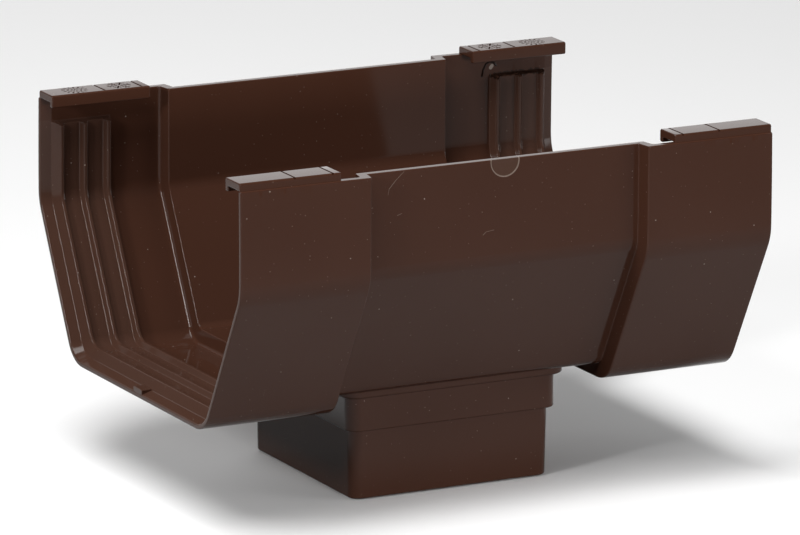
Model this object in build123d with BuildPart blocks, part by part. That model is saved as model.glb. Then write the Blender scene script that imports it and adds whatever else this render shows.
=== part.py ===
from build123d import *

import os
from math import atan2, degrees, pi, radians, tan

# Gutter outlet: a short trough with a socket at each end for a gutter, and a square spigot under its middle
# for a downpipe. It is one moulding in rigid plastic with an even wall.
# X runs along the gutter, Y across it, and Z up. The origin is the middle of the spigot's lower edge.

# Driving dimensions, in millimetres and degrees

# Trough
length = 160.0              # from socket end to socket end
socket_width = 126.5        # outside, across a socket's upright walls
floor_width = 82.8          # outside, between a socket's lower corners before they are rounded
rim_height = 97.7           # top of the walls
bend_height = 68.8          # where the upright walls turn inwards
floor_height = 27.4         # underside of a socket
wall = 2.3
bend_radius = 7.0           # inside the middle of the trough, and larger by the wall and the step elsewhere
floor_radius = 3.0          # likewise

# Shoulder between a socket and the middle of the trough
socket_depth = 36.4         # from a socket's end to the shoulder inside it
socket_step = 4.25          # how far the middle lies inside the sockets, all round
shoulder_round = 0.8        # rounding at the foot of the shoulder inside, and at its edge outside

# Entry of a socket, where the wall thins towards the end to lead the gutter in
end_wall = 1.3
entry_length = 3.2

# Sealing ribs, which run round the inside of a socket on a low pad
rib_count = 3
first_rib = 5.2             # middle of the first crest, from the socket's end
rib_pitch = 7.1
rib_height = 2.7            # crest above the wall
crest_width = 0.4           # flat of the crest
crest_bevel = 0.25          # bevels beside it
lead_angle = 33.0           # lean of the flank that faces the gutter
back_angle = 15.0           # lean of the flank behind the crest
pad_height = 1.25           # between the ribs, above the wall
rib_end_drop = 6.6          # rim to the upper ends of the ribs
rib_end_slope = 18.0        # fall of those ends towards the crests

# Locating nib on the floor of a socket, in front of the first rib
nib_width = 5.2
nib_height = 0.4            # above the floor

# Hook tabs, which close over the gutter's rims
tab_length = 29.8
tab_depth = 8.8             # across the trough
tab_thickness = 2.15
tab_setback = 0.35          # from the wall's outer face
tab_round = 0.5
lip_height = 3.2            # from the top of the tab
lip_thickness = 1.55
mark_places = (16.2, 27.4)  # marks across the tab, from the socket's end
mark_width = 0.5
mark_depth = 0.3

# Spigot
tube_width = 60.8           # goes into the downpipe
tube_length = 19.3
tube_draft = 1.0
tube_radius = 3.4
band_width = 63.8           # stops the downpipe
band_length = 9.6
band_radius = 3.6
flange_width = 67.5
flange_radius = 4.3
flange_round = 1.0
edge_bevel = 0.5            # lower edges of the tube and the band
inlet_round = 1.2           # edge of the floor, where the water runs in
ledge_bevel = 0.8           # edges of the ledges below it

# Worked out from the driving dimensions
end_x = length / 2
foot_x = end_x - socket_depth
riser_x = foot_x - wall     # outside
lean = atan2((socket_width - floor_width) / 2, bend_height - floor_height)
inner_half = socket_width / 2 - wall
middle_floor = floor_height + socket_step
rib_end = rim_height - rib_end_drop
tab_top = rim_height + tab_thickness
band_top = tube_length + band_length
tube_bore = tube_width - 2 * (tube_length * tan(radians(tube_draft)) + wall)
sunk = wall / 2             # how far an added feature reaches into the wall that carries it
clear = 10.0                # how far a cutting solid reaches past what it cuts


def trough_line(inset, top):
    """Returns the corners and radii of the trough's section, set in from the sockets' outer faces."""
    half_width = socket_width / 2 - inset
    half_floor = floor_width / 2 - inset * tan(pi / 4 - lean / 2)
    bend = bend_height + inset * tan(lean / 2)
    right = [(half_width, top), (half_width, bend), (half_floor, floor_height + inset)]
    left = [(-y, z) for y, z in reversed(right)]
    at_bend = bend_radius + wall + socket_step - inset
    at_floor = floor_radius + wall + socket_step - inset
    return right + left, [at_bend, at_floor, at_floor, at_bend]


def trough_section(x, inset, top):
    """Returns the trough's section at x, filled up to the given top."""
    corners, radii = trough_line(inset, top)
    with BuildSketch(Plane.YZ.offset(x)) as section:
        with BuildLine():
            outline = FilletPolyline(*corners, radius=radii)
            Line(outline @ 1, outline @ 0)
        make_face()
    return section.sketch


def stepped_block(inset, step_x, top):
    """Returns the trough as a filled block: its middle, and at each end a step out to a socket."""
    with BuildPart() as block:
        extrude(trough_section(step_x, inset, top), amount=end_x - step_x)
        shoulder = block.faces().sort_by(Axis.X)[0]
        fillet(shoulder.edges().filter_by(lambda edge: edge.center().Z < top - sunk), radius=shoulder_round)
        extrude(trough_section(0, inset + socket_step, top), amount=step_x)
        mirror(about=Plane.YZ)
    return block.part


# Space inside the trough, one wall in from its outside, with flared entries
with BuildPart() as hollow:
    over_rim = rim_height + clear
    add(stepped_block(wall, foot_x, over_rim))
    entry = trough_section(end_x - entry_length, wall, over_rim)
    extrude(entry, amount=entry_length, taper=-degrees(atan2(wall - end_wall, entry_length)))
    mouth = trough_section(end_x, end_wall, over_rim)
    extrude(mouth, amount=clear)
    mirror(about=Plane.YZ)

# Sealing ribs on their pad, swept round the inside of a socket from rim to rim
with BuildPart() as seal_ribs:
    corners, radii = trough_line(wall, rib_end)
    with BuildLine(Plane.YZ.offset(end_x)):
        FilletPolyline(*corners, radius=radii)
    with BuildSketch(Plane.XY.offset(rib_end)):
        outline = []
        for rib in range(rib_count):
            crest = first_rib + rib * rib_pitch
            before = pad_height if rib > 0 else -sunk
            behind = pad_height if rib < rib_count - 1 else -sunk
            half_crest = crest_width / 2 + crest_bevel
            shoulder_height = rib_height - crest_bevel
            outline += [
                (crest - half_crest - (shoulder_height - before) * tan(radians(lead_angle)), before),
                (crest - half_crest, shoulder_height),
                (crest - crest_width / 2, rib_height),
                (crest + crest_width / 2, rib_height),
                (crest + half_crest, shoulder_height),
                (crest + half_crest + (shoulder_height - behind) * tan(radians(back_angle)), behind),
            ]
        with BuildLine():
            Polyline(*[(end_x - depth, inner_half - height) for depth, height in outline], close=True)
        make_face()
    sweep()
    with BuildSketch(Plane.YZ.offset(foot_x)):
        with BuildLine():
            ridge = rib_end - inner_half * tan(radians(rib_end_slope))
            outer_half = inner_half + wall
            Polyline((-outer_half, 0), (outer_half, 0), (outer_half, rib_end), (inner_half, rib_end), (0, ridge),
                     (-inner_half, rib_end), (-outer_half, rib_end), close=True)
        make_face()
    extrude(amount=socket_depth, mode=Mode.INTERSECT)
    mirror(about=Plane.YZ)

# Locating nib, from the socket's end to the first rib
with BuildPart() as nibs:
    with BuildSketch(Plane.YZ.offset(end_x)):
        with Locations((0, floor_height + end_wall / 2)):
            Rectangle(nib_width, wall + nib_height - end_wall / 2, align=(Align.CENTER, Align.MIN))
    extrude(amount=-first_rib)
    mirror(about=Plane.YZ)

# Hook tabs: a plate on top of the wall, with a lip that turns down on the inside of the gutter's rim
with BuildPart() as hook_tabs:
    outside = socket_width / 2 - tab_setback
    inside = outside - tab_depth
    lip_bottom = tab_top - lip_height
    with BuildSketch(Plane.YZ.offset(end_x - tab_length)) as tab_section:
        with BuildLine():
            Polyline((outside, rim_height), (outside, tab_top), (inside, tab_top), (inside, lip_bottom),
                     (inside + lip_thickness, lip_bottom), (inside + lip_thickness, rim_height), close=True)
        make_face()
        fillet(tab_section.vertices().group_by(Axis.Y)[-1], radius=tab_round)
        fillet(tab_section.vertices().group_by(Axis.Y)[0], radius=tab_round)
    extrude(amount=tab_length)
    with Locations(*[(end_x - place, (inside + outside) / 2, tab_top) for place in mark_places]):
        Box(mark_width, tab_depth + clear, 2 * mark_depth, mode=Mode.SUBTRACT)
    mirror(about=Plane.XZ)
    mirror(about=Plane.YZ)

# Spigot: a tube that goes into the downpipe, the band that stops it, and a flange under the trough's floor
with BuildPart() as spigot:
    with BuildSketch(Plane.XY.offset(tube_length)):
        RectangleRounded(tube_width, tube_width, tube_radius)
    extrude(amount=-tube_length, taper=tube_draft)
    with BuildSketch(Plane.XY.offset(tube_length)):
        RectangleRounded(band_width, band_width, band_radius)
    extrude(amount=band_length)
    with BuildSketch(Plane.XY.offset(band_top)):
        RectangleRounded(flange_width, flange_width, flange_radius)
    extrude(amount=middle_floor + sunk - band_top)
    undersides = spigot.faces().filter_by(Axis.Z).sort_by(Axis.Z)[:3]
    fillet(undersides[2].outer_wire().edges(), radius=flange_round)
    for underside in undersides[:2]:
        chamfer(underside.outer_wire().edges(), length=edge_bevel)

# Waterway: the flange, the band and the tube are hollow, each with the same wall
with BuildPart() as waterway:
    with BuildSketch(Plane.XY.offset(-clear)):
        RectangleRounded(tube_bore, tube_bore, tube_radius)
    extrude(amount=clear + tube_length + wall)
    with BuildSketch(Plane.XY.offset(tube_length + wall)):
        RectangleRounded(band_width - 2 * wall, band_width - 2 * wall, band_radius)
    extrude(amount=band_length)
    with BuildSketch(Plane.XY.offset(band_top + wall)):
        RectangleRounded(flange_width - 2 * wall, flange_width - 2 * wall, flange_radius)
    extrude(amount=middle_floor - band_top + clear)
    for level in (1, 2):
        ledge = waterway.faces().filter_by(Axis.Z).sort_by(Axis.Z)[level]
        chamfer(ledge.inner_wires()[0].edges(), length=ledge_bevel)

# The moulding
with BuildPart() as gutter_outlet:
    add(stepped_block(0, riser_x, rim_height))
    add(spigot.part)
    add(hollow.part, mode=Mode.SUBTRACT)
    add(waterway.part, mode=Mode.SUBTRACT)
    floors = gutter_outlet.faces().filter_by(Axis.Z)
    drained = floors.filter_by(lambda face: abs(face.center().Z - middle_floor - wall) < sunk)[0]
    fillet(drained.inner_wires()[0].edges(), radius=inlet_round)
    add(seal_ribs.part)
    add(nibs.part)
    add(hook_tabs.part)

os.makedirs("parts", exist_ok=True)
gutter_outlet.part.label = "gutter_outlet"
export_step(gutter_outlet.part, "parts/gutter_outlet.step")
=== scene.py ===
from math import atan2, cos, pi, radians, sin, tan

import bmesh
import bpy
from mathutils import Matrix, Vector


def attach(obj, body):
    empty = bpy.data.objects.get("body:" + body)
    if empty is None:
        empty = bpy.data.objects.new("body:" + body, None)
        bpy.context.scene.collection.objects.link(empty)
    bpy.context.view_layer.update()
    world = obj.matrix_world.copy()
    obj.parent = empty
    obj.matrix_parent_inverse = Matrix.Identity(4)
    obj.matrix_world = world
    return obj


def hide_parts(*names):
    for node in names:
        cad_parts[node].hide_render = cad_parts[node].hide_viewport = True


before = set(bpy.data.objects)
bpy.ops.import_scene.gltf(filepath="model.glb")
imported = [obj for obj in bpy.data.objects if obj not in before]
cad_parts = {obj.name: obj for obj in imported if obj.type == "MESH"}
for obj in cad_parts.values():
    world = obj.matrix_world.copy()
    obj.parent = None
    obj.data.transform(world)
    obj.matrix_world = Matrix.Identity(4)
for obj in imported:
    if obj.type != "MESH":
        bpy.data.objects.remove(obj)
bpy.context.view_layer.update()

# Trough: the open channel of the moulding, with a wider socket at each end that takes a gutter.
# It is injection moulded in rigid PVC with an even wall, and every edge has the small radius of the tool.
# All sizes here are millimetres; the meshes are in metres.
MM = 0.001
half_length = 80.0
half_width = 63.25
half_floor = 41.4
rim_z = 97.7
bend_z = 68.8
floor_z = 27.4
wall = 2.3
socket_step = 4.25
bend_radius = 13.55
floor_radius = 9.55
edge_radius = 0.3
lean = atan2(half_width - half_floor, bend_z - floor_z)
middle_floor = floor_z + socket_step


def rounded(points, radii, steps):
    """Returns an open line of 2-D points with each inner corner turned into an arc of so many steps."""
    line = [points[0]]
    for before, corner, after, radius in zip(points, points[1:], points[2:], radii):
        to_before = Vector(before) - Vector(corner)
        to_after = Vector(after) - Vector(corner)
        if min(to_before.length, to_after.length) < 1e-6 or radius < 1e-6:
            line += [tuple(corner)] * (steps + 1)
            continue
        half_angle = to_before.angle(to_after) / 2
        reach = min(radius / tan(half_angle), 0.49 * to_before.length, 0.49 * to_after.length)
        radius = reach * tan(half_angle)
        start = Vector(corner) + to_before.normalized() * reach
        middle = (to_before.normalized() + to_after.normalized()).normalized()
        centre = Vector(corner) + middle * (radius / sin(half_angle))
        turn = (start - centre).angle_signed(Vector(corner) + to_after.normalized() * reach - centre)
        for step in range(steps + 1):
            arm = (start - centre).copy()
            arm.rotate(Matrix.Rotation(-turn * step / steps, 2))
            line.append(tuple(centre + arm))
    return line + [points[-1]]


# Sealing ribs: three ribs on a low pad run round the inside of each socket and press on the gutter.
# They are part of the moulding and stop a little below the rim, with ends that slope down to the crests.
rib_count = 3
first_rib = 5.2
rib_pitch = 7.1
rib_height = 2.7
pad_height = 1.25
half_crest = 0.45
crest_radius = 0.38
rib_foot_radius = 0.45
ribs_start = 52.0
lead_slope = tan(radians(33))
back_slope = tan(radians(15))
rib_end = rim_z - 6.6
rib_end_slope = tan(radians(18))
end_wall = 1.3
entry_length = 3.2


def entry_inset(x):
    """Returns how far a socket's inner face lies inside its outer face, without the ribs."""
    into_entry = max(0.0, x - (half_length - entry_length)) / entry_length
    return wall - (wall - end_wall) * into_entry


def rib_profile():
    """Returns the ribs' section from the shoulder to the socket's end: corners (x, inset) and their radii."""
    corners = [(ribs_start, wall)]
    radii = []
    for rib in reversed(range(rib_count)):
        crest_x = half_length - first_rib - rib * rib_pitch
        behind = 0.0 if rib == rib_count - 1 else pad_height
        before = 0.0 if rib == 0 else pad_height
        corners += [
            (crest_x - half_crest - (rib_height - behind) * back_slope, wall + behind),
            (crest_x - half_crest, wall + rib_height),
            (crest_x + half_crest, wall + rib_height),
            (crest_x + half_crest + (rib_height - before) * lead_slope, wall + before),
        ]
        radii += [rib_foot_radius, crest_radius, crest_radius, rib_foot_radius]
    corners[-1] = (corners[-1][0], entry_inset(corners[-1][0]))
    corners.append((half_length - edge_radius, entry_inset(half_length - edge_radius)))
    return corners, radii


# Each station along the trough is (outer x, outer inset, inner x, inner inset, rib height, end rounding).
# The shoulder between the middle and a socket is a sloped step with a sharp foot outside and a soft one inside.
outer_shoulder = [(37.0, socket_step), (40.95, socket_step), (41.65, 0.0), (46.0, 0.0)]
inner_shoulder = [(37.0, socket_step + wall), (43.25, socket_step + wall), (43.95, wall), (46.0, wall)]
outer_shoulder_radii = (0.25, 0.5)
inner_shoulder_radii = (0.4, 1.6)
shoulder_steps = 5
middle_places = (0.0, 9.0, 18.0, 27.0, 33.0)
before_ribs = 49.0
stations = [(x, socket_step, x, socket_step + wall, 0.0, 0.0) for x in middle_places]
outer_curve = rounded(outer_shoulder, outer_shoulder_radii, shoulder_steps)
inner_curve = rounded(inner_shoulder, inner_shoulder_radii, shoulder_steps)
for outer, inner in zip(outer_curve, inner_curve):
    stations.append((*outer, *inner, 0.0, 0.0))
stations.append((before_ribs, 0.0, before_ribs, wall, 0.0, 0.0))
for x, inset in rounded(*rib_profile(), 4):
    stations.append((x, 0.0, x, inset, max(0.0, inset - entry_inset(x)), 0.0))
for step in (1, 2, 3):
    angle = step * pi / 6
    x = half_length - edge_radius * (1 - sin(angle))
    shrink = edge_radius * (1 - cos(angle))
    stations.append((x, shrink, x, entry_inset(x) - shrink, 0.0, shrink))

# The socket walls lean in a little under the hook tabs, which shrink as they cool and pull the rim with them.
rim_pull = 0.33
pull_start = 74.0
pull_from = 44.0
pull_over = 8.0


def pulled(x, z):
    """Returns how far a wall is pulled in at a place along the trough and a height."""
    in_socket = min(1.0, max(0.0, (x - pull_from) / pull_over))
    return rim_pull * in_socket * (max(0.0, z - pull_start) / (rim_z - pull_start)) ** 2


# Rows of points down a wall: one over the ribs, those round the ribs' upper ends, and those down the flat wall.
# The rows at the ribs' ends keep a small gap, so that they stay apart where the wall has no rib.
over_ribs = 94.6
end_run = 2.0
end_steps = 3
row_gap = 0.03
wall_rows = (87.0, 84.0, 81.0, 78.0, 75.0)
slant_parts = (0.25, 0.5, 0.75)
floor_parts = (0.75, 0.5, 0.25, 0.0)
bend_steps = 6
corner_steps = 9


def arc(centre, radius, first, last, steps):
    """Returns points (y, z) of an arc that turns downwards from the first angle to the last."""
    angles = [first + (last - first) * step / steps for step in range(steps + 1)]
    return [(centre[0] + radius * cos(angle), centre[1] - radius * sin(angle)) for angle in angles]


def wall_points(inset, rib, shrink):
    """Returns half of the trough's wall line as (y, z), from the rim down to the middle of the floor."""
    above_rib = half_width - inset + rib
    line = [(above_rib, rim_z - shrink - edge_radius), (above_rib, over_ribs)]
    crest_end = rib_end - rib * rib_end_slope
    end = [(0.0, rib_end + end_run), (0.0, rib_end), (rib, crest_end), (rib, crest_end - end_run)]
    end_radius = edge_radius * min(1.0, rib)
    for place, (height, z) in enumerate(rounded(end, (end_radius, end_radius), end_steps)[1:-1]):
        line.append((above_rib - height, z - row_gap * place))
    line += [(half_width - inset, z) for z in wall_rows]
    centre = (half_width - bend_radius, bend_z + bend_radius * tan(lean / 2))
    line += arc(centre, bend_radius - inset, 0.0, lean, bend_steps)
    reach = floor_radius * tan(pi / 4 - lean / 2)
    centre = (half_floor + reach * sin(lean) - floor_radius * cos(lean), floor_z + floor_radius)
    corner = arc(centre, floor_radius - inset, lean, pi / 2, corner_steps)
    upper = line[-1]
    fall = (corner[0][0] - upper[0], corner[0][1] - upper[1])
    line += [(upper[0] + fall[0] * part, upper[1] + fall[1] * part) for part in slant_parts]
    line += corner
    line += [(corner[-1][0] * part, corner[-1][1]) for part in floor_parts]
    return line


def trough_loop(outer_x, outer_inset, inner_x, inner_inset, rib, shrink):
    """Returns the closed loop of points round the wall at one station, in millimetres."""
    outer = wall_points(outer_inset, 0.0, shrink)
    inner = wall_points(inner_inset, rib, shrink)
    base = inner_inset - rib
    loop = []
    for side in (1, -1):
        path = [(outer_x, side * (y - pulled(outer_x, z)), z) for y, z in outer]
        loop += path if side == 1 else path[-2::-1]
    for side in (-1, 1):
        over = []
        for angle in (pi / 6, pi / 3, pi / 2):
            drop = edge_radius * (1 - sin(angle))
            over.append((outer_x, outer_inset + edge_radius * (1 - cos(angle)), rim_z - shrink - drop))
        for angle in (pi / 2, pi / 3, pi / 6):
            drop = edge_radius * (1 - sin(angle))
            over.append((inner_x, base - edge_radius * (1 - cos(angle)), rim_z - shrink - drop))
        over = [(x, side * (half_width - inset - pulled(x, z)), z) for x, inset, z in over]
        path = [(inner_x, side * (y - pulled(inner_x, z)), z) for y, z in inner]
        if side == -1:
            loop += over + path
        else:
            loop += path[-2::-1] + over[::-1]
    return loop


def loft(mesh, loops, capped):
    """Adds a skin over closed loops of points to the mesh, with plain ends if it is capped."""
    rings = [[mesh.verts.new([part * MM for part in point]) for point in loop] for loop in loops]
    for ring, after in zip(rings, rings[1:]):
        for place in range(len(ring)):
            beside = (place + 1) % len(ring)
            mesh.faces.new((ring[place], ring[beside], after[beside], after[place]))
    if capped:
        mesh.faces.new(rings[0][::-1])
        mesh.faces.new(rings[-1])
    return rings


def new_object(name, mesh):
    """Returns an object made from the finished mesh, with its faces turned outwards."""
    bmesh.ops.recalc_face_normals(mesh, faces=mesh.faces)
    data = bpy.data.meshes.new(name)
    mesh.to_mesh(data)
    mesh.free()
    made = bpy.data.objects.new(name, data)
    bpy.context.scene.collection.objects.link(made)
    return made


mesh = bmesh.new()
right_loops = [trough_loop(*station) for station in stations]
left_loops = [[(-x, y, z) for x, y, z in loop] for loop in right_loops[:0:-1]]
rings = loft(mesh, left_loops + right_loops, False)
path_count = 2 * len(wall_points(0.0, 0.0, 0.0)) - 1
over_count = 6
for ring in (rings[0], rings[-1]):
    outer = ring[:path_count]
    inner = ring[path_count + over_count:2 * path_count + over_count][::-1]
    front_rim = ring[path_count:path_count + over_count]
    back_rim = ring[2 * path_count + over_count:]
    for place in range(path_count - 1):
        mesh.faces.new((outer[place], outer[place + 1], inner[place + 1], inner[place]))
    mesh.faces.new([outer[-1], *front_rim, inner[-1]])
    mesh.faces.new([inner[0], *back_rim, outer[0]])
moulding = new_object("moulding", mesh)

# Hook tabs: four plates on top of the socket walls, each with a lip that turns down over the gutter's rim.
# They are part of the moulding, and they spring over the rim when the gutter is pressed in.
tab_top = 99.85
tab_length = 29.8
ledge = 0.6
tab_reach = 9.15
web_reach = 1.6
lip_height = 3.5
tab_outside = half_width - ledge - rim_pull
tab_inside = half_width - tab_reach - rim_pull
web_inside = half_width - web_reach
lip_bottom = tab_top - lip_height
lip_thickness = 1.55
sunk = 0.6
end_gap = 0.05


def bar_loop(x, corners, radii, inset):
    """Returns a rounded loop across a bar at x, set in from its corners (y, z), which run anticlockwise."""
    count = len(corners)
    moved = []
    for place in range(count):
        before, corner, after = (Vector(corners[(place + shift) % count]) for shift in (-1, 0, 1))
        first = (corner - before).normalized().orthogonal()
        second = (after - corner).normalized().orthogonal()
        moved.append(tuple(corner + (first + second) * (inset / (1 + first.dot(second)))))
    closed = [moved[-1], *moved, moved[0]]
    return [(x, y, z) for y, z in rounded(closed, radii, 3)[1:-1]]


tab_corners = [
    (tab_outside, rim_z - sunk), (tab_outside, tab_top), (tab_inside, tab_top), (tab_inside, lip_bottom),
    (tab_inside + lip_thickness, lip_bottom), (tab_inside + lip_thickness, rim_z), (web_inside, rim_z),
    (web_inside, rim_z - sunk),
]
tab_radii = (0.1, 0.5, 0.5, 0.4, 0.3, 0.4, 0.1, 0.1)
tab_stations = []
tab_start = half_length - tab_length
tab_stop = half_length - end_gap
for angle in (pi / 2, pi / 3, pi / 6, 0.0):
    tab_stations.append((tab_start + edge_radius * (1 - sin(angle)), edge_radius * (1 - cos(angle))))
for angle in (0.0, pi / 6, pi / 3, pi / 2):
    tab_stations.append((tab_stop - edge_radius * (1 - sin(angle)), edge_radius * (1 - cos(angle))))
tab_loops = [bar_loop(x, tab_corners, tab_radii, inset) for x, inset in tab_stations]
additions = bmesh.new()
for along in (1, -1):
    for across in (1, -1):
        loft(additions, [[(along * x, across * y, z) for x, y, z in loop] for loop in tab_loops], True)

# Locating nibs: a low block on the floor of each socket, in front of the first rib, that centres the gutter.
# It is moulded with the floor and ends flush with the socket.
nib_half = 2.6
nib_top = floor_z + wall + 0.4
nib_root = floor_z + 0.9
nib_edge = 0.2
nib_radii = (0.1, 0.1, 0.25, 0.25)
nib_corners = [(-nib_half, nib_root), (nib_half, nib_root), (nib_half, nib_top), (-nib_half, nib_top)]
nib_stations = [(half_length - first_rib, 0.0)]
for angle in (0.0, pi / 6, pi / 3, pi / 2):
    nib_stations.append((half_length - end_gap - nib_edge * (1 - sin(angle)), nib_edge * (1 - cos(angle))))
nib_loops = [bar_loop(x, nib_corners, nib_radii, inset) for x, inset in nib_stations]
for along in (1, -1):
    loft(additions, [[(along * x, y, z) for x, y, z in loop] for loop in nib_loops], True)

# Flash: a thread of plastic that was squeezed out of the tool beside the innermost rib, at the back of the
# right socket. It still hangs on the wall and curls up it through places (x, z).
thread = [(56.8, 90.7), (57.3, 92.7), (58.05, 94.2), (59.2, 94.7), (60.6, 94.3), (61.3, 93.5)]
thread_y = 60.62
thread_radius = 0.2
curl_radius = 1.0
thread_line = rounded(thread, [curl_radius] * (len(thread) - 2), 3)
thread_loops = []
thread_before = thread_line[:1] + thread_line
thread_after = thread_line[1:] + thread_line[-1:]
for before, here, after in zip(thread_before, thread_line, thread_after):
    side = (Vector(after) - Vector(before)).normalized().orthogonal()
    loop = []
    for step in range(8):
        angle = step * pi / 4
        x, z = Vector(here) + side * (thread_radius * cos(angle))
        loop.append((x, thread_y - thread_radius * sin(angle), z))
    thread_loops.append(loop)
loft(additions, thread_loops, True)

# Spigot: the square tube that goes into the downpipe, the band that stops it and the flange under the floor.
# It is one wall thick all the way, with rounded corners and a slight taper so that it leaves the tool.
# Its outside and its bore are lines of (half width, z), and each half width has its own corner radius.
tube_foot = 30.06
tube_half = 30.4
band_half = 31.9
flange_half = 33.75
tube_top = 19.3
band_top = 28.9
tube_bore = 27.76
band_bore = 29.6
flange_bore = 31.45
spigot_line = [
    (29.0, 0.0), (tube_foot, 0.0), (tube_half, tube_top), (band_half, tube_top), (band_half, band_top),
    (flange_half, band_top), (flange_half, 32.8),
]
spigot_radii = (0.6, 0.12, 0.5, 0.15, 0.9)
corner_radii = ((20.0, 0.3), (27.2, 0.3), (tube_half, 3.4), (band_half, 3.6), (flange_half, 4.3))
bore_line = [
    (tube_bore, 0.4), (tube_bore, 21.6), (band_bore, 21.6), (band_bore, 31.2), (flange_bore, 31.2),
    (flange_bore, 32.4),
]
bore_radii = (1.1, 0.3, 1.1, 0.3)
bore_corner_radii = ((tube_bore, 3.4), (band_bore, 3.6), (flange_bore, 4.3), (33.0, 5.8))
inlet_radius = 1.3
mouth_radius = 0.5
flare = radians(80)
bore_bottom = -6.0
bore_top = 45.0


def between(table, value):
    """Returns the value that a table of (key, value) gives at a key, along straight lines."""
    for (low, at_low), (high, at_high) in zip(table, table[1:]):
        if value <= high:
            return at_low + (at_high - at_low) * (value - low) / (high - low)
    return table[-1][1]


def square_loop(half, z, table):
    """Returns a loop round a square of the given half width, with the corner radius that the table gives."""
    radius = between(table, half)
    loop = []
    for quarter in range(4):
        for step in range(9):
            angle = (quarter + step / 8) * pi / 2
            middle = (quarter + 0.5) * pi / 2
            x = (half - radius) * (1 if cos(middle) > 0 else -1) + radius * cos(angle)
            y = (half - radius) * (1 if sin(middle) > 0 else -1) + radius * sin(angle)
            loop.append((x, y, z))
    return loop


spigot_rings = rounded(spigot_line, spigot_radii, 4)
loft(additions, [square_loop(half, z, corner_radii) for half, z in spigot_rings], True)
waterway = bmesh.new()
bore_rings = [(tube_bore + mouth_radius * (1 - cos(flare)), bore_bottom)]
for degrees in (80, 60, 40, 20, 0):
    angle = radians(degrees)
    bore_rings.append((tube_bore + mouth_radius * (1 - cos(angle)), mouth_radius * (1 - sin(angle))))
bore_rings += rounded(bore_line, bore_radii, 5)[1:-1]
for degrees in (0, 16, 32, 48, 64, 80):
    angle = radians(degrees)
    lift = middle_floor + wall - inlet_radius * (1 - sin(angle))
    bore_rings.append((flange_bore + inlet_radius * (1 - cos(angle)), lift))
bore_rings.append((flange_bore + inlet_radius * (1 - cos(flare)), bore_top))
loft(waterway, [square_loop(half, z, bore_corner_radii) for half, z in bore_rings], True)

# Marks: two grooves across each tab show how far in the gutter goes, and each back tab carries a snowflake
# and a sun for the weather it is fitted in. They stand proud in the tool and so are engraved in the plastic.
engraving = bmesh.new()
mark_depth = 0.45
groove_width = 0.6
stroke_width = 0.5
ring_width = 0.45
spoke_width = 0.38
branch_width = 0.36
groove_places = (16.2, 27.4)
snow_place = 22.2
sun_place = 8.75
mark_y = (tab_inside + tab_outside) / 2


def engrave(start, end, width):
    """Adds a straight stroke between two points (x, y) of the tabs' top to the engraving."""
    side = (end - start).normalized().orthogonal() * (width / 2)
    outline = (start - side, end - side, end + side, start + side)
    loft(engraving, [[(x, y, z) for x, y in outline] for z in (tab_top - mark_depth, tab_top + 1.0)], True)


def ray(turn, reach):
    """Returns a 2-D vector of the given reach, turned by so many degrees."""
    return Vector((reach * cos(radians(turn)), reach * sin(radians(turn))))


for along in (1, -1):
    for place in groove_places:
        x = along * (half_length - place)
        for across in (1, -1):
            start = Vector((x, across * (tab_inside + 0.5)))
            end = Vector((x, across * (tab_outside + 1.0)))
            engrave(start, end, groove_width)
    centre = Vector((along * (half_length - snow_place), mark_y))
    for turn in range(0, 360, 60):
        engrave(centre + ray(turn, 0.55), centre + ray(turn, 3.6), stroke_width)
        for reach, branch in ((1.5, 0.95), (2.45, 1.35)):
            for side in (-60, 60):
                root = centre + ray(turn, reach)
                engrave(root + ray(turn + side, 0.45), root + ray(turn + side, branch), branch_width)
    centre = Vector((along * (half_length - sun_place), mark_y))
    for turn in range(0, 360, 24):
        engrave(centre + ray(turn, 2.65), centre + ray(turn, 3.75), stroke_width)
        rim = centre + ray(turn, 1.95)
        engrave(rim - ray(turn + 90, 0.29), rim + ray(turn + 90, 0.29), ring_width)
    for turn in range(0, 360, 60):
        engrave(centre + ray(turn, 0.42), centre + ray(turn, 1.2), spoke_width)

# Gate mark: a shallow half-round patch at the top of the front wall, where the plastic ran into the tool.
# The sprue was cut away there, and the cut left a dull face with a scuffed edge.
gate_x = 0.25
gate_z = 97.1
gate_radius = 4.2
gate_depth = 0.15
front_y = socket_step - half_width
gate_circle = []
for step in range(48):
    turn = step * pi / 24
    gate_circle.append((gate_x + gate_radius * cos(turn), gate_z + gate_radius * sin(turn)))
gate_loops = [[(x, y, z) for x, z in gate_circle] for y in (front_y - 1.0, front_y + gate_depth)]
loft(engraving, gate_loops, True)

# The moulding is all of these in one piece: the tabs, nibs, flash and spigot grow out of the wall,
# and the waterway is cut through the floor and down the spigot.
weld_reach = 0.004
sliver_reach = 0.002
sharp_angle = radians(35)


def combine(body, tool, operation):
    """Joins a tool to the body or cuts it away, and removes the tool."""
    modifier = body.modifiers.new(tool.name, "BOOLEAN")
    modifier.operation = operation
    modifier.solver = "EXACT"
    modifier.object = tool
    bpy.context.view_layer.update()
    evaluated = body.evaluated_get(bpy.context.evaluated_depsgraph_get())
    combined = bpy.data.meshes.new_from_object(evaluated)
    body.modifiers.clear()
    body.data = combined
    bpy.data.objects.remove(tool)


combine(moulding, new_object("additions", additions), "UNION")
combine(moulding, new_object("waterway", waterway), "DIFFERENCE")
combine(moulding, new_object("engraving", engraving), "DIFFERENCE")
mesh = bmesh.new()
mesh.from_mesh(moulding.data)
bmesh.ops.remove_doubles(mesh, verts=mesh.verts, dist=weld_reach * MM)
bmesh.ops.dissolve_degenerate(mesh, edges=mesh.edges, dist=sliver_reach * MM)
mesh.to_mesh(moulding.data)
mesh.free()
moulding.data.shade_smooth()
moulding.data.set_sharp_from_angle(angle=sharp_angle)
normals = moulding.modifiers.new("even_normals", "WEIGHTED_NORMAL")
normals.mode = "FACE_AREA"
normals.weight = 50
normals.keep_sharp = True


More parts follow.
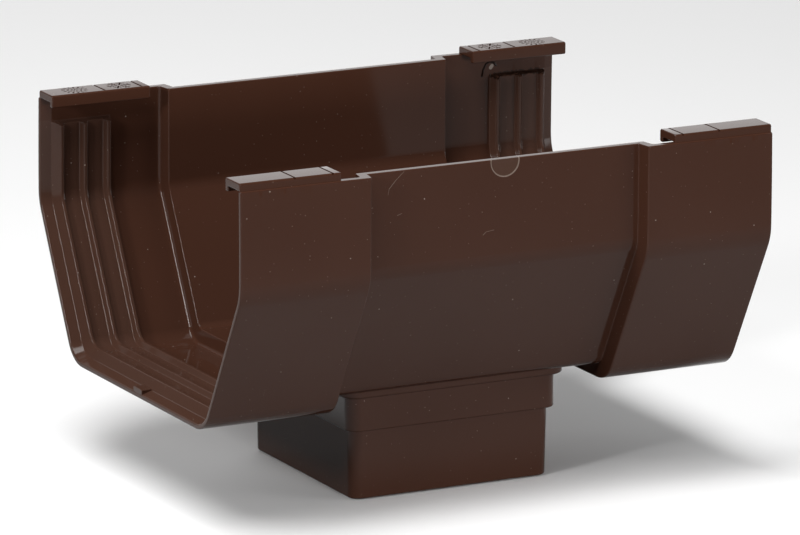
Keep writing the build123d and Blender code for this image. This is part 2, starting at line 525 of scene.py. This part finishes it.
# Rigid PVC, brown in the mass and injection moulded in a polished tool: a dark warm brown under a clear gloss,
# with the faint waves that a moulded wall has, and with the pale specks of dust that cling to it.
def linear(code):
    """Returns the linear colour of an sRGB hex code."""
    parts = [int(code[place:place + 2], 16) / 255 for place in (1, 3, 5)]
    return [part / 12.92 if part <= 0.04045 else ((part + 0.055) / 1.055) ** 2.4 for part in parts] + [1.0]


def node(tree, kind, inputs, **settings):
    """Adds a node with its settings, and fills its inputs with values or links."""
    added = tree.nodes.new(kind)
    for name, value in settings.items():
        setattr(added, name, value)
    for name, value in inputs.items():
        if isinstance(value, bpy.types.NodeSocket):
            tree.links.new(value, added.inputs[name])
        else:
            added.inputs[name].default_value = value
    return added


def new_material(name):
    """Returns a new material and its cleared node tree."""
    made = bpy.data.materials.new(name)
    made.use_nodes = True
    made.node_tree.nodes.clear()
    return made, made.node_tree


def mix(tree, share, first, second):
    """Returns the colour between two colours, each a socket or a hex code."""
    made = node(tree, "ShaderNodeMix", {0: share}, data_type="RGBA")
    for place, colour in ((6, first), (7, second)):
        if isinstance(colour, str):
            made.inputs[place].default_value = linear(colour)
        else:
            tree.links.new(colour, made.inputs[place])
    return made.outputs[2]


def math(tree, operation, *values):
    """Returns the result of a sum on numbers or sockets."""
    return node(tree, "ShaderNodeMath", dict(enumerate(values)), operation=operation).outputs[0]


cloud_size = 0.035
bloom_size = 0.012
wave_size = 0.018
pvc, tree = new_material("brown_rigid_pvc")
place = node(tree, "ShaderNodeTexCoord", {}).outputs["Object"]
spot = node(tree, "ShaderNodeSeparateXYZ", {"Vector": place}).outputs
cloud = node(tree, "ShaderNodeTexNoise", {"Vector": place, "Scale": 1 / cloud_size, "Detail": 3.0})
colour = mix(tree, cloud.outputs["Fac"], "#3c241a", "#42291f")

# Ribbed zone: inside the sockets' ends the tool is a little duller, with a grey tint that is partly painted
# sheen and partly grey dust.
# The zone is where the surface faces the trough's axis, beyond the innermost rib and below the ribs' ends.
trough_axis = 80.0
zone_start = 59.3
zone_top = rib_end + 0.2
zone_sheen_and_dust = 0.03
zone_roughness = 0.03
across = node(tree, "ShaderNodeVectorMath", {0: place, 1: (0.0, -1.0, -1.0)}, operation="MULTIPLY").outputs[0]
inwards = node(tree, "ShaderNodeVectorMath", {0: across, 1: (0.0, 0.0, trough_axis * MM)}).outputs[0]
facing = node(tree, "ShaderNodeTexCoord", {}).outputs["Normal"]
turned = node(tree, "ShaderNodeVectorMath", {0: facing, 1: inwards}, operation="DOT_PRODUCT").outputs["Value"]
beyond = math(tree, "GREATER_THAN", math(tree, "ABSOLUTE", spot["X"]), zone_start * MM)
below = math(tree, "LESS_THAN", spot["Z"], zone_top * MM)
ribbed = math(tree, "MULTIPLY", math(tree, "GREATER_THAN", turned, 0.0), math(tree, "MULTIPLY", beyond, below))
# The grey mixed in here is painted sheen on the ribs and pads, together with some grey dust.
colour = mix(tree, math(tree, "MULTIPLY", ribbed, zone_sheen_and_dust), colour, "#9a8d84")

# Dust: fine specks all over and a few larger ones, each up to a few tenths of a millimetre across.
# They lie loose on the gloss, so they are paler and dull. Each row is (spacing, share of the places without a
# speck, radius of the largest speck, colour).
dust = ((1.3, 0.45, 0.15, "#66574e"), (3.4, 0.5, 0.2, "#92867d"))
dull = 0.0
for cell, least, largest, shade in dust:
    specks = node(tree, "ShaderNodeTexVoronoi", {"Vector": place, "Scale": 1 / (cell * MM)})
    chance = node(tree, "ShaderNodeSeparateColor", {"Color": specks.outputs["Color"]}).outputs["Red"]
    reach = node(tree, "ShaderNodeMapRange", {
        "Value": chance, "From Min": least, "From Max": 1.0, "To Min": 0.0, "To Max": largest / cell,
    })
    speck = math(tree, "LESS_THAN", specks.outputs["Distance"], reach.outputs["Result"])
    colour = mix(tree, speck, colour, shade)
    dull = math(tree, "MAXIMUM", dull, speck)

# Wear on the front wall: the dull gate mark with its scuffed edge, and a few fine scratches from handling.
# Places are (x, z) in millimetres on the face of the wall.
gate_haze = 0.12
gate_dullness = 0.3
scuff_half_width = 0.17
scuff_strength = 0.4
scratch_strength = 0.28
at_front = math(tree, "LESS_THAN", spot["Y"], (front_y + 1.0) * MM)
flat = node(tree, "ShaderNodeVectorMath", {0: place, 1: (1.0, 0.0, 1.0)}, operation="MULTIPLY").outputs[0]
from_gate = node(tree, "ShaderNodeVectorMath", {
    0: flat, 1: (gate_x * MM, 0.0, gate_z * MM),
}, operation="DISTANCE").outputs["Value"]
in_gate = math(tree, "MULTIPLY", at_front, math(tree, "LESS_THAN", from_gate, gate_radius * MM))
colour = mix(tree, math(tree, "MULTIPLY", in_gate, gate_haze), colour, "#6a5a4e")
on_edge = math(tree, "COMPARE", from_gate, gate_radius * MM, scuff_half_width * MM)
scuff = math(tree, "MULTIPLY", on_edge, scuff_strength)
scratches = (
    ((-30.0, 97.3), (-32.4, 95.2), 0.12),
    ((-32.4, 95.2), (-34.4, 93.0), 0.16),
    ((-34.4, 93.0), (-34.7, 91.4), 0.1),
    ((-6.2, 77.5), (-5.3, 78.3), 0.16),
    ((-5.3, 78.3), (-2.9, 78.6), 0.12),
    ((-31.9, 85.6), (-30.6, 86.0), 0.14),
    ((-40.6, 88.2), (-39.2, 88.4), 0.2),
)


def stroke(start, end, width):
    """Returns a socket that is one within a straight stroke between two places (x, z), and zero elsewhere."""
    first = Vector((start[0], 0.0, start[1])) * MM
    span = Vector((end[0], 0.0, end[1])) * MM - first
    off = node(tree, "ShaderNodeVectorMath", {0: flat, 1: first}, operation="SUBTRACT").outputs[0]
    share = node(tree, "ShaderNodeVectorMath", {0: off, 1: span / span.length_squared}, operation="DOT_PRODUCT")
    along = node(tree, "ShaderNodeClamp", {"Value": share.outputs["Value"]})
    nearest = node(tree, "ShaderNodeVectorMath", {0: span, "Scale": along.outputs[0]}, operation="SCALE")
    gap = node(tree, "ShaderNodeVectorMath", {0: off, 1: nearest.outputs[0]}, operation="DISTANCE")
    return math(tree, "LESS_THAN", gap.outputs["Value"], width / 2 * MM)


for start, end, width in scratches:
    scratch = math(tree, "MULTIPLY", stroke(start, end, width), scratch_strength)
    scuff = math(tree, "MAXIMUM", scuff, scratch)
scuff = math(tree, "MULTIPLY", scuff, at_front)
colour = mix(tree, scuff, colour, "#a39488")
dull = math(tree, "MAXIMUM", math(tree, "MAXIMUM", dull, scuff), math(tree, "MULTIPLY", in_gate, gate_dullness))

# Painted shade on the flash: the thread is painted nearly black for the shade that lies on it, with a ragged
# band of the same painted shade along the ribs' upper ends, and a pale spot is painted in the curl.
back_start = 54.0
ribs_middle = 67.8
ribs_reach = 8.6
edge_z = rib_end - 0.2
ragged_size = 1.6
shade_line_width = 0.6
thread_shade = 0.85
rib_end_shade = 0.7
pale_spot_start = (59.6, 93.0)
pale_spot_end = (60.0, 93.5)
pale_spot_width = 1.1
pale_spot_strength = 0.75
at_back = math(tree, "GREATER_THAN", spot["Y"], back_start * MM)
painted_shade = 0.0
for start, end in zip(thread, thread[1:]):
    on_thread = stroke(start, end, shade_line_width)
    painted_shade = math(tree, "MAXIMUM", painted_shade, math(tree, "MULTIPLY", on_thread, thread_shade))
ragged = node(tree, "ShaderNodeTexNoise", {"Vector": place, "Scale": 1 / (ragged_size * MM), "Detail": 2.0})
reach = node(tree, "ShaderNodeMapRange", {
    "Value": ragged.outputs["Fac"], "From Min": 0.35, "From Max": 0.65, "To Min": 0.1 * MM, "To Max": 0.95 * MM,
})
from_ends = math(tree, "ABSOLUTE", math(tree, "SUBTRACT", spot["Z"], edge_z * MM))
at_ends = math(tree, "LESS_THAN", from_ends, reach.outputs["Result"])
on_ribs = math(tree, "COMPARE", spot["X"], ribs_middle * MM, ribs_reach * MM)
on_ends = math(tree, "MULTIPLY", at_ends, on_ribs)
painted_shade = math(tree, "MAXIMUM", painted_shade, math(tree, "MULTIPLY", on_ends, rib_end_shade))
# Painted shade: the thread and a ragged band along the ribs' upper ends are darkened nearly to black.
colour = mix(tree, math(tree, "MULTIPLY", painted_shade, at_back), colour, "#140c08")
# A pale spot is painted in the curl of the thread.
on_pale_spot = stroke(pale_spot_start, pale_spot_end, pale_spot_width)
pale_spot = math(tree, "MULTIPLY", on_pale_spot, math(tree, "MULTIPLY", at_back, pale_spot_strength))
colour = mix(tree, pale_spot, colour, "#938981")
dull = math(tree, "MAXIMUM", dull, pale_spot)

# Gloss: nearly a mirror, with a slight bloom that comes and goes, dull where there is dust or wear, and wavy.
# The specular level is low because the white studio shows only faintly in the photographed walls.
bloom = node(tree, "ShaderNodeTexNoise", {"Vector": place, "Scale": 1 / bloom_size, "Detail": 4.0})
gloss = node(tree, "ShaderNodeMapRange", {
    "Value": bloom.outputs["Fac"], "From Min": 0.3, "From Max": 0.7, "To Min": 0.06, "To Max": 0.1,
})
dust_roughness = 0.5
rough = math(tree, "MULTIPLY_ADD", ribbed, zone_roughness, gloss.outputs["Result"])
rough = math(tree, "MULTIPLY_ADD", dull, dust_roughness, rough)
wave = node(tree, "ShaderNodeTexNoise", {"Vector": place, "Scale": 1 / wave_size, "Detail": 1.0})
ripple = node(tree, "ShaderNodeBump", {"Height": wave.outputs["Fac"], "Strength": 0.06, "Distance": 0.5 * MM})
shader = node(tree, "ShaderNodeBsdfPrincipled", {
    "Base Color": colour, "Roughness": rough, "IOR": 1.53, "Specular IOR Level": 0.12,
    "Normal": ripple.outputs["Normal"],
})
node(tree, "ShaderNodeOutputMaterial", {"Surface": shader.outputs["BSDF"]})
moulding.data.materials.clear()
moulding.data.materials.append(pvc)
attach(moulding, "root")
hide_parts("gutter_outlet")

# Floor: pale paper that turns a little greyer towards the front. It looks so to the camera and in reflections,
# and is a darker grey to other rays, so that it throws little light up at the object.
grey_from = -0.16
grey_to = -0.45
bpy.ops.mesh.primitive_plane_add(size=8.0, location=(0.0, 0.0, -0.0003))
floor = bpy.context.object
floor.name = "studio_floor"
paper, tree = new_material("white_paper")
position = node(tree, "ShaderNodeNewGeometry", {}).outputs["Position"]
depth = node(tree, "ShaderNodeSeparateXYZ", {"Vector": position}).outputs["Y"]
near = node(tree, "ShaderNodeMapRange", {
    "Value": depth, "From Min": grey_to, "From Max": grey_from,
}, interpolation_type="SMOOTHSTEP")
shown = mix(tree, near.outputs["Result"], "#bcbcbc", "#f4f4f4")
rays = node(tree, "ShaderNodeLightPath", {}).outputs
seen = math(tree, "MAXIMUM", rays["Is Camera Ray"], rays["Is Glossy Ray"])
seen = math(tree, "MAXIMUM", seen, rays["Is Transmission Ray"])
surface = mix(tree, seen, "#585858", shown)
shader = node(tree, "ShaderNodeBsdfPrincipled", {"Base Color": surface, "Roughness": 0.9})
node(tree, "ShaderNodeOutputMaterial", {"Surface": shader.outputs["BSDF"]})
floor.data.materials.append(paper)


# Light: a large softbox overhead on the left, small ones on the left and in front, a broad one on the right,
# and a panel behind that shows in the faces that look up.
def softbox(name, place, target, width, height, power):
    """Adds an area lamp at a place, turned to a target, with its size in metres."""
    lamp = bpy.data.lights.new(name, "AREA")
    lamp.shape = "RECTANGLE"
    lamp.size = width
    lamp.size_y = height
    lamp.energy = power
    holder = bpy.data.objects.new(name, lamp)
    holder.location = place
    holder.rotation_mode = "QUATERNION"
    holder.rotation_quaternion = (Vector(target) - Vector(place)).to_track_quat("-Z", "Y")
    bpy.context.scene.collection.objects.link(holder)


softbox("top_softbox", (-0.42, -0.22, 1.15), (0, 0, 0.05), 0.5, 0.8, 15.5)
softbox("left_softbox", (-0.95, -0.32, 0.45), (0, 0, 0.05), 0.18, 0.13, 4.4)
softbox("front_softbox", (0.1, -1.45, 0.16), (0, 0, 0.05), 0.34, 0.18, 9.0)
softbox("right_softbox", (1.1, -0.85, 0.25), (0, 0, 0.05), 0.8, 0.45, 6.6)
softbox("back_panel", (0.5, 1.5, 0.65), (0, 0, 0.06), 2.6, 1.2, 12.0)
world = bpy.data.worlds.new("studio")
bpy.context.scene.world = world
world.use_nodes = True
background = world.node_tree.nodes["Background"]
background.inputs["Color"].default_value = linear("#ffffff")
background.inputs["Strength"].default_value = 0.1

# Camera: the photograph's long lens, a little to the left of the front and above the rim.
photo_width = 800
focal_pixels = 7705.6
eye = Vector((-0.94258, -1.81543, 0.56189))
ahead = Vector((0.4471, 0.8615, -0.2406)).normalized()
right = Vector((0.8882, -0.4595, 0.0055))
right = (right - ahead * right.dot(ahead)).normalized()
above = right.cross(ahead)
lens = bpy.data.cameras.new("photo_camera")
lens.sensor_width = 36.0
lens.sensor_fit = "HORIZONTAL"
lens.lens = focal_pixels / photo_width * lens.sensor_width
camera = bpy.data.objects.new("photo_camera", lens)
camera.matrix_world = Matrix((
    (right.x, above.x, -ahead.x, eye.x),
    (right.y, above.y, -ahead.y, eye.y),
    (right.z, above.z, -ahead.z, eye.z),
    (0.0, 0.0, 0.0, 1.0),
))
bpy.context.scene.collection.objects.link(camera)
bpy.context.scene.camera = camera
bpy.context.scene.view_settings.view_transform = "Standard"
